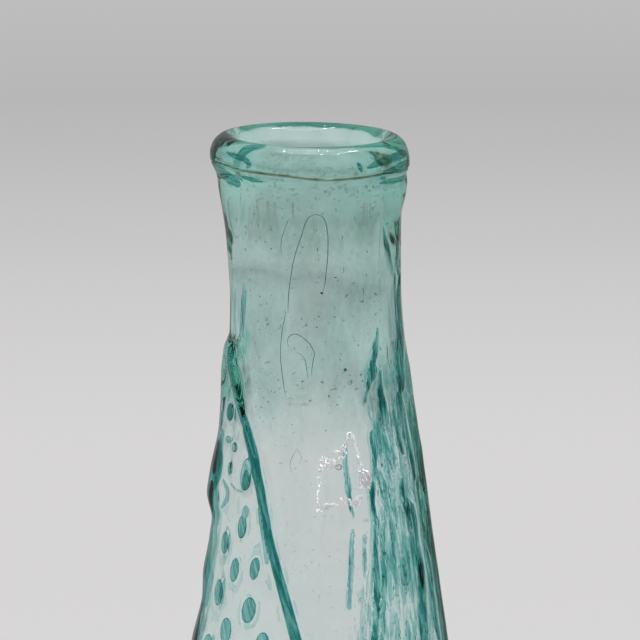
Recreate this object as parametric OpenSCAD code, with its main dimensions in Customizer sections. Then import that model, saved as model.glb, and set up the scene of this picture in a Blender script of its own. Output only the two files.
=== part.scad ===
// Blown and moulded glass cologne bottle: a thick rolled lip, a short wide
// neck and a body that widens to the base. A pointed leaf rises on the left
// side and a long-veined one on the right, with a plain V-shaped panel
// between them at the front and at the back. It is all one piece of glass.
// +Z is up, the front faces -Y and the origin is the middle of the base.

/* [Bottle] */
// Height to the highest point of the lip
height = 130; // [118:1:145]
// Diameter of the body at its widest, just above the heel
body_d = 42; // [36:1:48]
// Diameter of the neck at its narrowest
neck_d = 19; // [18.4:0.2:20.4]

/* [Lip] */
// Outer diameter of the rolled lip
lip_d = 22; // [21.4:0.2:24]
// Tilt of the lip, in degrees, with its right side lower
lip_tilt = 2; // [0:0.5:3]
// How far the neck and the lip stand to the left of the body's axis
lean = 1.3; // [0:0.1:1.8]

/* [Glass] */
// Diameter of the straight bore under the mouth
bore_d = 15.2; // [13.6:0.2:15.6]
// Depth of the straight bore, measured from the top of the lip
bore_depth = 10; // [7:0.5:12]
// Wall thickness of the body between the leaves
wall = 1.2; // [1:0.1:2]
// Height of the dished hollow under the base
push_up = 2.5; // [1:0.5:3.5]
// Diameter of that hollow
push_up_d = 29; // [20:1:31]

/* [Leaves] */
// Height of the raised edge of the left leaf
rim_h = 0.75; // [0:0.05:1]
// Height of the leaves' own surface over the plain panels
leaf_h = 0.45; // [0:0.05:0.7]
// Height of the tallest lobe of the left leaf
lobe_h = 1.1; // [0:0.1:1.3]
// Height of the veins of the right leaf
vein_h = 0.5; // [0:0.05:0.7]

/* [Hidden] */

neck_r = neck_d / 2;
body_r = body_d / 2;
lip_r = lip_d / 2;
bore_r = bore_d / 2;
// the tables below are written for a bottle 130 high
kz = height / 130;
// middle of the lip's top plane
crest_r = lip_r - 1.7;
// the lip is rolled deeper on its right, so its top tilts less than its edge
crest_tilt = lip_tilt * 0.4;
top_z = height - crest_r * sin(crest_tilt);

// radius of the plain panels against height, for a 9.5 neck and a 21 body
PANEL = [[0, 21], [8, 21], [15, 20.6], [30, 19.3], [45, 17.4], [60, 15.2],
         [75, 13], [85, 11.6], [89, 11.1], [93, 10.65], [97, 10.25],
         [101, 9.9], [107, 9.6], [112, 9.5], [119, 9.8], [124, 10.4]];
// sideways place of the centreline, as a share of the lean
BEND = [[0, 0], [80, 0], [93, 0.2], [98, 0.3], [104, 0.5], [112, 0.5],
        [119, 0.6], [123, 0.75], [126, 0.9], [128, 1], [130, 1]];
// half angle of the left leaf, from the middle of the left side to its edge
EDGE = [[68, 90], [76, 78], [84, 66], [89, 60], [94, 54], [98, 44],
        [102, 35], [105, 26], [107, 16]];
// height of its lobes, as a share of the tallest one
LOBES = [[62, 0], [68, 0.45], [73, 0.7], [77.5, 0.2], [81, 0.55], [84, 0.3],
         [87, 0.2], [89.6, 1.05], [93, 0.8], [96.7, 0.3], [100, 0.25],
         [104, 0.3], [107, 0]];
// where the columns of the mesh gather, and how tightly
COLS = [[0, 45], [56, 60], [68, 76], [76, 74], [84, 66], [89, 60], [94, 54],
        [98, 44], [102, 35], [105, 28], [108, 30], [113, 45], [130, 45]];
COLW = [[0, 14], [60, 10], [68, 8], [106, 8], [113, 14], [130, 14]];
// section of the lip: radius less the lip's, depth under its top plane
LIP = [[-0.66, 6.2], [-0.54, 5.2], [-0.42, 4.3], [-0.42, 3.75],
       [-0.13, 3.4], [0, 2.85], [0, 2.3], [-0.16, 1.55], [-0.45, 0.9],
       [-0.82, 0.42], [-1.25, 0.12], [-1.7, 0]];
// veins of the right leaf: angle from the front at heights 66, 84, 92, 100
// and 106, width in degrees, height share, lowest and highest point
VEINS = [[[12, 18, 15, 14, 14], 4.5, 0.7, 82, 95],
         [[26, 30, 27, 26, 26], 5, 0.5, 70, 100],
         [[34, 40, 33, 37, 33], 5, 1.0, 64, 106],
         [[46, 50, 46, 48, 46], 5, 0.7, 62, 104],
         [[58, 62, 58, 60, 60], 5, 0.9, 66, 107],
         [[70, 72, 72, 71, 74], 5, 0.7, 62, 105],
         [[84, 84, 85, 84, 86], 7, 0.8, 60, 105]];

function clamp(t) = max(0, min(1, t));
function ease(t) = let (u = clamp(t)) u * u * (3 - 2 * u);
// value from a table, with its corners rounded over 2w
function soft(tab, z, w) =
    (lookup(z - w, tab) + 2 * lookup(z, tab) + lookup(z + w, tab)) / 4;

function panel_r(z) = z > 112
    ? neck_r + (soft(PANEL, z, 1) - 9.5)
    : neck_r + (soft(PANEL, z, 2) - 9.5) * (body_r - neck_r) / 11.5;
function bend_x(z) = -lean * soft(BEND, z, 3);
// the leaves stand between these heights, and die away into the body below
function stand(z) = ease((z - 58) / 10) * ease((108 - z) / 2);

// left leaf: lobes within a raised edge; v is the angle from its middle
function lobes(v, h, z) = soft(LOBES, z, 0.8) * ease(1.25 * (1 - v / h))
    * (0.85 + 0.15 * cos(v * 12) * sin(360 * z / 4.75));
function left_leaf(v, z) =
    let (h = soft(EDGE, z, 1.5), inside = ease((h - v) / 6 + 0.5))
    inside * (leaf_h + lobe_h * lobes(v, h, z))
    + rim_h * ease((z - 60) / 6) * exp(-pow((v - h) / 4.2, 2));

// right leaf: long veins; f is the angle from the front
function vein_f(v, z) = lookup(z, [[66, v[0][0]], [84, v[0][1]],
    [92, v[0][2]], [100, v[0][3]], [106, v[0][4]]]);
function one_vein(v, f, z) = v[2] * ease((z - v[3]) / 5)
    * ease((v[4] - z) / 3) * exp(-pow((f - vein_f(v, z)) / v[1], 2));
function right_leaf(f, z) =
    let (edge = lookup(z, [[66, 8], [84, 14], [94, 16], [101, 26], [107, 38]]))
    leaf_h * ease((f - edge) / 10)
    + vein_h * max([for (v = VEINS) one_vein(v, f, z)]);

// height of the relief at angle a from the front, positive to the right
function relief(a, z) = stand(z) * (a < 0
    ? left_leaf(abs(a + 90), z)
    : right_leaf(a > 90 ? 180 - a : a, z));

// angles of the mesh's columns in one ring, closer along the leaf's edge
function left_cols(z) =
    let (h = soft(COLS, z, 1), w = lookup(z, COLW))
    concat([for (i = [0:4]) (h - w) * i / 5],
           [for (i = [0:3]) h - w + w * i / 2],
           [for (i = [0:3]) h + w + (90 - h - w) * i / 4]);
function ring_cols(z) =
    let (c = left_cols(z), n = len(c))
    concat([for (i = [0:17]) i * 5], [for (i = [18:35]) i * 5],
           [for (i = [0:n - 1]) -180 + (i == 0 ? 0 : 90 - c[n - i])],
           [for (i = [0:n - 1]) -90 + c[i]]);

// one ring of points: r is a list of radii, x0 its middle, tilt its slope
function ring(a, r, x0, z, tilt) = [for (i = [0:len(a) - 1])
    let (x = r[i] * sin(a[i]), y = -r[i] * cos(a[i]))
    [x0 + x * cos(tilt), y, z - x * sin(tilt)]];

function tilt_at(z) = lip_tilt * ease((z - 116) / 10);

BODY_Z = [-1, 0.3, 0.9, 1.9, 3.2, 5, 10, 18, 28, 38, 48, 56, 61,
          for (i = [0:23]) 65 + 1.8 * i, 108.2, 110.5, 113, 116, 119, 121.5];
// rounding of the heel
function heel(z) = z < 5 ? 2.6 * (1 - sqrt(1 - pow(1 - clamp((z + 1) / 6), 2)))
    : 0;

function body_ring(z) = let (a = ring_cols(z))
    ring(a, [for (t = a) panel_r(z) - heel(z) + relief(t, z)],
         bend_x(z), z * kz, tilt_at(z));
function lip_ring(p) = let (a = ring_cols(130))
    ring(a, [for (t = a) lip_r + p[0]],
         -lean * (1 - 0.2 * ease((p[1] - 3.5) / 1.5)), top_z - p[1],
         crest_tilt + (lip_tilt - crest_tilt) * ease(p[1] / 2.6));

OUTER = concat([for (z = BODY_Z) body_ring(z)], [for (p = LIP) lip_ring(p)]);

// inside of the body, from its floor to the foot of the bore
CAVITY = [[5.6, 5], [6.6, 3], [8.6, 1.7], [12, 1.15], [20, 1.05], [30, 1],
          [40, 1], [50, 1], [60, 1], [70, 1], [78, 1], [85, 1], [91, 1.05],
          [97, 1.2], [102, 1.45], [107, 1.7]];
function round_ring(r, x0, z, n) = ring([for (i = [0:n - 1]) 3 + i * 360 / n],
    [for (i = [0:n - 1]) r], x0, z, 0);
function cavity_ring(z, r, n) = round_ring(r, bend_x(z), z * kz, n);
// ring near the foot of the bore, d above it
function mouth_ring(r, d, n) = round_ring(r, -lean + 0.1, top_z - bore_depth + d, n);
function cavity(n) = concat(
    [for (p = CAVITY) cavity_ring(p[0], min(panel_r(p[0]) - p[1] * wall,
        p[0] > 95 ? bore_r + (107 - p[0]) * 0.25 : 99), n)],
    [cavity_ring(111, bore_r + 0.05, n),
     mouth_ring(bore_r + 0.3, -0.9, n), mouth_ring(bore_r - 0.9, 1.8, n)]);

// closed solid through a stack of rings of the same count
module loft(rings) {
    n = len(rings[0]);
    m = len(rings);
    polyhedron(
        points = [for (r = rings) each r],
        faces = concat(
            [[for (i = [0:n - 1]) i]],
            [[for (i = [n - 1:-1:0]) (m - 1) * n + i]],
            [for (k = [0:m - 2], i = [0:n - 1], h = [0, 1])
                let (j = (i + 1) % n, p = k * n, q = p + n)
                h == 0 ? [p + i, q + i, q + j] : [p + i, q + j, p + j]]));
}

// rounded inner edge of the mouth, as the space that it leaves
module mouth() {
    e = crest_r - 0.3;
    w = e - bore_r;
    translate([-lean, 0, top_z]) rotate([0, crest_tilt, 0])
        rotate_extrude($fn = 96)
            polygon(concat([[0, 2], [e + 0.5, 2], [e + 0.3, 0.1]],
                [for (t = [22, 40, 55, 75])
                    [e - w * 1.15 * sin(t), -1.5 * (1 - cos(t))]],
                [[bore_r - 0.9, -2.4], [0, -2.4]]));
}

module bottle() {
    rs = (pow(push_up_d / 2, 2) + pow(push_up, 2)) / (2 * push_up);
    color([0.55, 0.76, 0.72]) difference() {
        loft(OUTER);
        loft(cavity(36));
        mouth();
        // straight bore of the neck
        translate([-lean, 0, top_z - bore_depth - 0.4])
            cylinder(r = bore_r, h = bore_depth + 2, $fn = 96);
        // flat of the base, and the hollow under it
        translate([0, 0, -5]) cylinder(r = body_r + 5, h = 5, $fn = 96);
        translate([0, 0, push_up - rs]) sphere(r = rs, $fn = 96);
    }
}

bottle();
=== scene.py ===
"""Blown and moulded glass cologne bottle, as one closed glass mesh.

Angles are in degrees from the front (-Y), positive to the right (+X).
Lengths are in millimetres until the mesh is written, which is in metres.
"""
import math

import bpy
import numpy as np
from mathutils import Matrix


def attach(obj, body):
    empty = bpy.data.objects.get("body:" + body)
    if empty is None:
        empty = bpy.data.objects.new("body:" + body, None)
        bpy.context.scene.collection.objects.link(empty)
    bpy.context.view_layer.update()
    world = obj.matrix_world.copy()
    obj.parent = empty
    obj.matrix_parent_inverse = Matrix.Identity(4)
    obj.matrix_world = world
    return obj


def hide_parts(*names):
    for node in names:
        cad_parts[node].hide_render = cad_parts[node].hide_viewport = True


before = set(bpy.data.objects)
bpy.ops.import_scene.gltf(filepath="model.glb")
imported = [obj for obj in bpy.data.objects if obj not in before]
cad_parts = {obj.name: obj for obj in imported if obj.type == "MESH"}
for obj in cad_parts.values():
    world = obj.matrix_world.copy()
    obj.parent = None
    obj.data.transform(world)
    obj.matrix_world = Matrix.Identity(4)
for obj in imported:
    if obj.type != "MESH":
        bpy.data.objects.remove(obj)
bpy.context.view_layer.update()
scene = bpy.context.scene

# ---------------------------------------------------------------- camera
TARGET = np.array([-0.17, 0.0, 109.1])
ELEVATION = math.radians(10.5)
DISTANCE = 600.0
eye = TARGET + DISTANCE * np.array([0, -math.cos(ELEVATION), math.sin(ELEVATION)])
cam_data = bpy.data.cameras.new("camera")
cam_data.sensor_fit = "HORIZONTAL"
cam_data.sensor_width = 36
cam_data.lens = 305
cam_data.clip_start = 0.01
cam_data.clip_end = 60
camera = bpy.data.objects.new("camera", cam_data)
scene.collection.objects.link(camera)
camera.location = [float(v) * 0.001 for v in eye]
camera.rotation_euler = (math.pi / 2 - ELEVATION, 0, 0)
scene.camera = camera

# ---------------------------------------------------------------- sections
TOP_Z = 129.87
LEAN = 1.3
LIP_R = 11.0
BORE_R = 7.6
LIP_TILT = 2.0
CREST_TILT = 0.8

PANEL = [(0, 21), (8, 21), (15, 20.6), (30, 19.3), (45, 17.4), (60, 15.2),
         (75, 13), (85, 11.6), (89, 11.1), (93, 10.65), (97, 10.25),
         (101, 9.9), (107, 9.6), (112, 9.5), (119, 9.8), (124, 10.4)]
BEND = [(0, 0), (80, 0), (93, 0.2), (98, 0.3), (104, 0.5), (112, 0.5),
        (119, 0.6), (123, 0.75), (126, 0.9), (128, 1), (130, 1)]
# half angle of the left leaf, from the middle of the left side
EDGE = [(68, 90), (76, 78), (84, 66), (89, 60), (94, 54), (98, 44),
        (102, 35), (105, 26), (107, 16)]
LOBES = [(62, 0), (68, 0.45), (73, 0.7), (77.5, 0.2), (81, 0.55), (84, 0.3),
         (87, 0.2), (89.6, 1.05), (93, 0.8), (96.7, 0.3), (100, 0.25),
         (104, 0.3), (107, 0)]
# lip: (radius less the lip's, depth under its top plane)
LIP = [(-0.66, 6.2), (-0.54, 5.2), (-0.45, 4.4), (-0.36, 3.85), (-0.2, 3.5),
       (-0.05, 3.15), (0, 2.8), (0, 2.3), (-0.07, 1.85), (-0.2, 1.4),
       (-0.42, 0.92), (-0.72, 0.52), (-1.05, 0.24), (-1.4, 0.07), (-1.7, 0)]
# mouth: (radius, depth)
MOUTH = [(9.3, 0), (8.95, 0.03), (8.6, 0.12), (8.25, 0.28), (7.95, 0.55),
         (7.72, 0.95), (7.62, 1.5), (7.6, 2.1)]
# wall of the visible glass against height
WALL = [(5, 3), (7, 2), (10, 1.5), (20, 1.1), (40, 0.9), (60, 0.8), (70, 0.7),
        (80, 0.62), (89, 0.58), (93, 0.6), (97, 0.66), (101, 0.74), (105, 0.78),
        (108.5, 0.81), (111, 0.85), (113, 0.9), (115, 0.99), (116.5, 1.13), (117.5, 1.35), (118.5, 1.66),
        (119.5, 2.0), (120.4, 2.3), (121.5, 2.42)]
# how far the right leaf stands off its panel
RIGHT_LIFT = [(60, 0.4), (95, 0.42), (98, 0.3), (100.5, 0.2), (104, 0.17), (106.5, 0.04), (108, 0)]
# clear outer edge of the right leaf, how far it stands out at the right side
RIGHT_EDGE = [(60, 0), (70, 0.2), (85, 0.25), (88, 0.32), (90.5, 0.36), (93.5, 0.32), (95.9, 0.42), (97.3, 0.52),
              (100, 0.56), (102.7, 0.6), (104, 0.54), (105.4, 0.42), (107, 0.26), (110, 0.14), (114, 0.06), (118, 0)]
VEINS = [((12, 18, 15, 14, 14), 4.5, 0.7, 82, 95),
         ((26, 30, 27, 26, 26), 5, 0.5, 70, 100),
         ((34, 40, 33, 37, 33), 5, 1.0, 64, 106),
         ((46, 50, 46, 48, 46), 5, 0.7, 62, 104),
         ((58, 62, 58, 60, 60), 5, 0.9, 66, 107),
         ((70, 72, 72, 71, 74), 5, 0.7, 62, 105)]


def tab(t, z):
    return np.interp(z, [p[0] for p in t], [p[1] for p in t])


def ease(t):
    t = np.clip(t, 0, 1)
    return t * t * (3 - 2 * t)


def soft(t, z, w):
    """Table value at z, rounded by a bell curve of width w."""
    grid = np.arange(-12.0, 142.0, 0.1)
    knots = [p[0] for p in t]
    v = np.interp(grid, knots, [p[1] for p in t])
    head = (t[1][1] - t[0][1]) / (t[1][0] - t[0][0])
    tail = (t[-1][1] - t[-2][1]) / (t[-1][0] - t[-2][0])
    v = np.where(grid < knots[0], t[0][1] + head * (grid - knots[0]), v)
    v = np.where(grid > knots[-1], t[-1][1] + tail * (grid - knots[-1]), v)
    n = int(3 * w / 0.1)
    bell = np.exp(-0.5 * (np.arange(-n, n + 1) * 0.1 / w) ** 2)
    v = np.convolve(np.pad(v, n, mode="edge"), bell / bell.sum(), mode="valid")
    return np.interp(z, grid, v)


def panel_r(z):
    t = ease((z - 108) / 6)
    return (1 - t) * soft(PANEL, z, 1.6) + t * soft(PANEL, z, 0.8)


def bend_x(z):
    return -LEAN * soft(BEND, z, 1.8)


def smooth_line(points, step, closed=False):
    """Catmull-Rom curve through the points, sampled about every step."""
    p = np.array(points, float)
    p = np.vstack([2 * p[0] - p[1], p, 2 * p[-1] - p[-2]])
    out = []
    for i in range(1, len(p) - 2):
        n = max(1, int(math.ceil(np.linalg.norm(p[i + 1] - p[i]) / step)))
        for k in range(n):
            t = k / n
            out.append(0.5 * ((2 * p[i]) + (p[i + 1] - p[i - 1]) * t
                       + (2 * p[i - 1] - 5 * p[i] + 4 * p[i + 1] - p[i + 2]) * t * t
                       + (3 * p[i] - p[i - 1] - 3 * p[i + 1] + p[i + 2]) * t ** 3))
    out.append(p[-2])
    return np.array(out)


def lattice(i, j, k, seed):
    n = (i * 73856093) ^ (j * 19349663) ^ (k * 83492791) ^ (seed * 2654435761)
    n = n & 0xFFFFFFFF
    n = ((n ^ (n >> 15)) * 2246822519) & 0xFFFFFFFF
    n = ((n ^ (n >> 13)) * 3266489917) & 0xFFFFFFFF
    n = n ^ (n >> 16)
    return (n & 0xFFFFFF) / float(0xFFFFFF) * 2 - 1


def noise(p, size, seed):
    """Smooth value noise from -1 to 1 at points p, with a feature size per axis."""
    q = np.asarray(p, float) / np.asarray(size, float) + 500.0
    i = np.floor(q).astype(np.int64)
    f = q - i
    f = f * f * f * (f * (f * 6 - 15) + 10)
    total = 0.0
    for dx in (0, 1):
        for dy in (0, 1):
            for dz in (0, 1):
                w = (np.where(dx, f[..., 0], 1 - f[..., 0])
                     * np.where(dy, f[..., 1], 1 - f[..., 1])
                     * np.where(dz, f[..., 2], 1 - f[..., 2]))
                total = total + w * lattice(i[..., 0] + dx, i[..., 1] + dy, i[..., 2] + dz, seed)
    return total


# ---------------------------------------------------------------- relief
def stand(z):
    return ease((z - 58) / 10) * ease((108 - z) / 2)


def left_leaf(a, z):
    v = np.abs(a + 90)
    h = soft(EDGE, z, 1.0)
    inside = ease((h - v) / 6 + 0.5)
    lobe = soft(LOBES, z, 0.5) * ease(1.25 * (1 - v / h)) * np.where(
        a > -90, ease((26 - v) / 16), 0.85 + 0.15 * np.cos(np.radians(v * 12))
        * np.sin(np.radians(360 * z / 4.75)))
    # the back edge of the leaf; the front edge is a stroke of its own
    back = ease((-90 - a) / 4)
    rim = 0.22 * ease((z - 60) / 6) * np.exp(-((v - h) / 7.0) ** 2) * back
    return inside * 0.45, inside * 1.1 * lobe, rim


def right_leaf(a, z):
    f = np.where(a > 90, 180 - a, a)
    edge = np.interp(z, [66, 76, 84, 97, 101, 107], [8, 16, 27, 31, 33, 40])
    lift = soft(RIGHT_LIFT, z, 0.8) * ease((f - edge) / 12)
    vein = np.zeros_like(z)
    back = ease((a - 92) / 6)
    low = ease((85 - z) / 3)
    for v in VEINS:
        at = np.interp(z, [66, 84, 92, 100, 106], v[0])
        vein = np.maximum(vein, v[2] * ease((z - v[3]) / 5) * ease((v[4] - z) / 3)
                          * np.exp(-((f - at) / v[1]) ** 2) * np.maximum(back, low))
    side = 0.6 * ease((z - 60) / 5) * ease((98 - z) / 4) * np.exp(-((f - 85) / 7) ** 2)
    return lift, 0.42 * np.maximum(vein, side)


def side_edge(a, z):
    return soft(RIGHT_EDGE, z, 0.7) * np.exp(-(np.abs(a - 89) / 15) ** 2.4)


# strokes on the outer surface: points (angle, height, half width in mm, how
# dark), then how high the glass stands and how squared its section is
def stroke(points, high, power=2.0):
    return dict(points=points, high=high, power=power)


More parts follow.
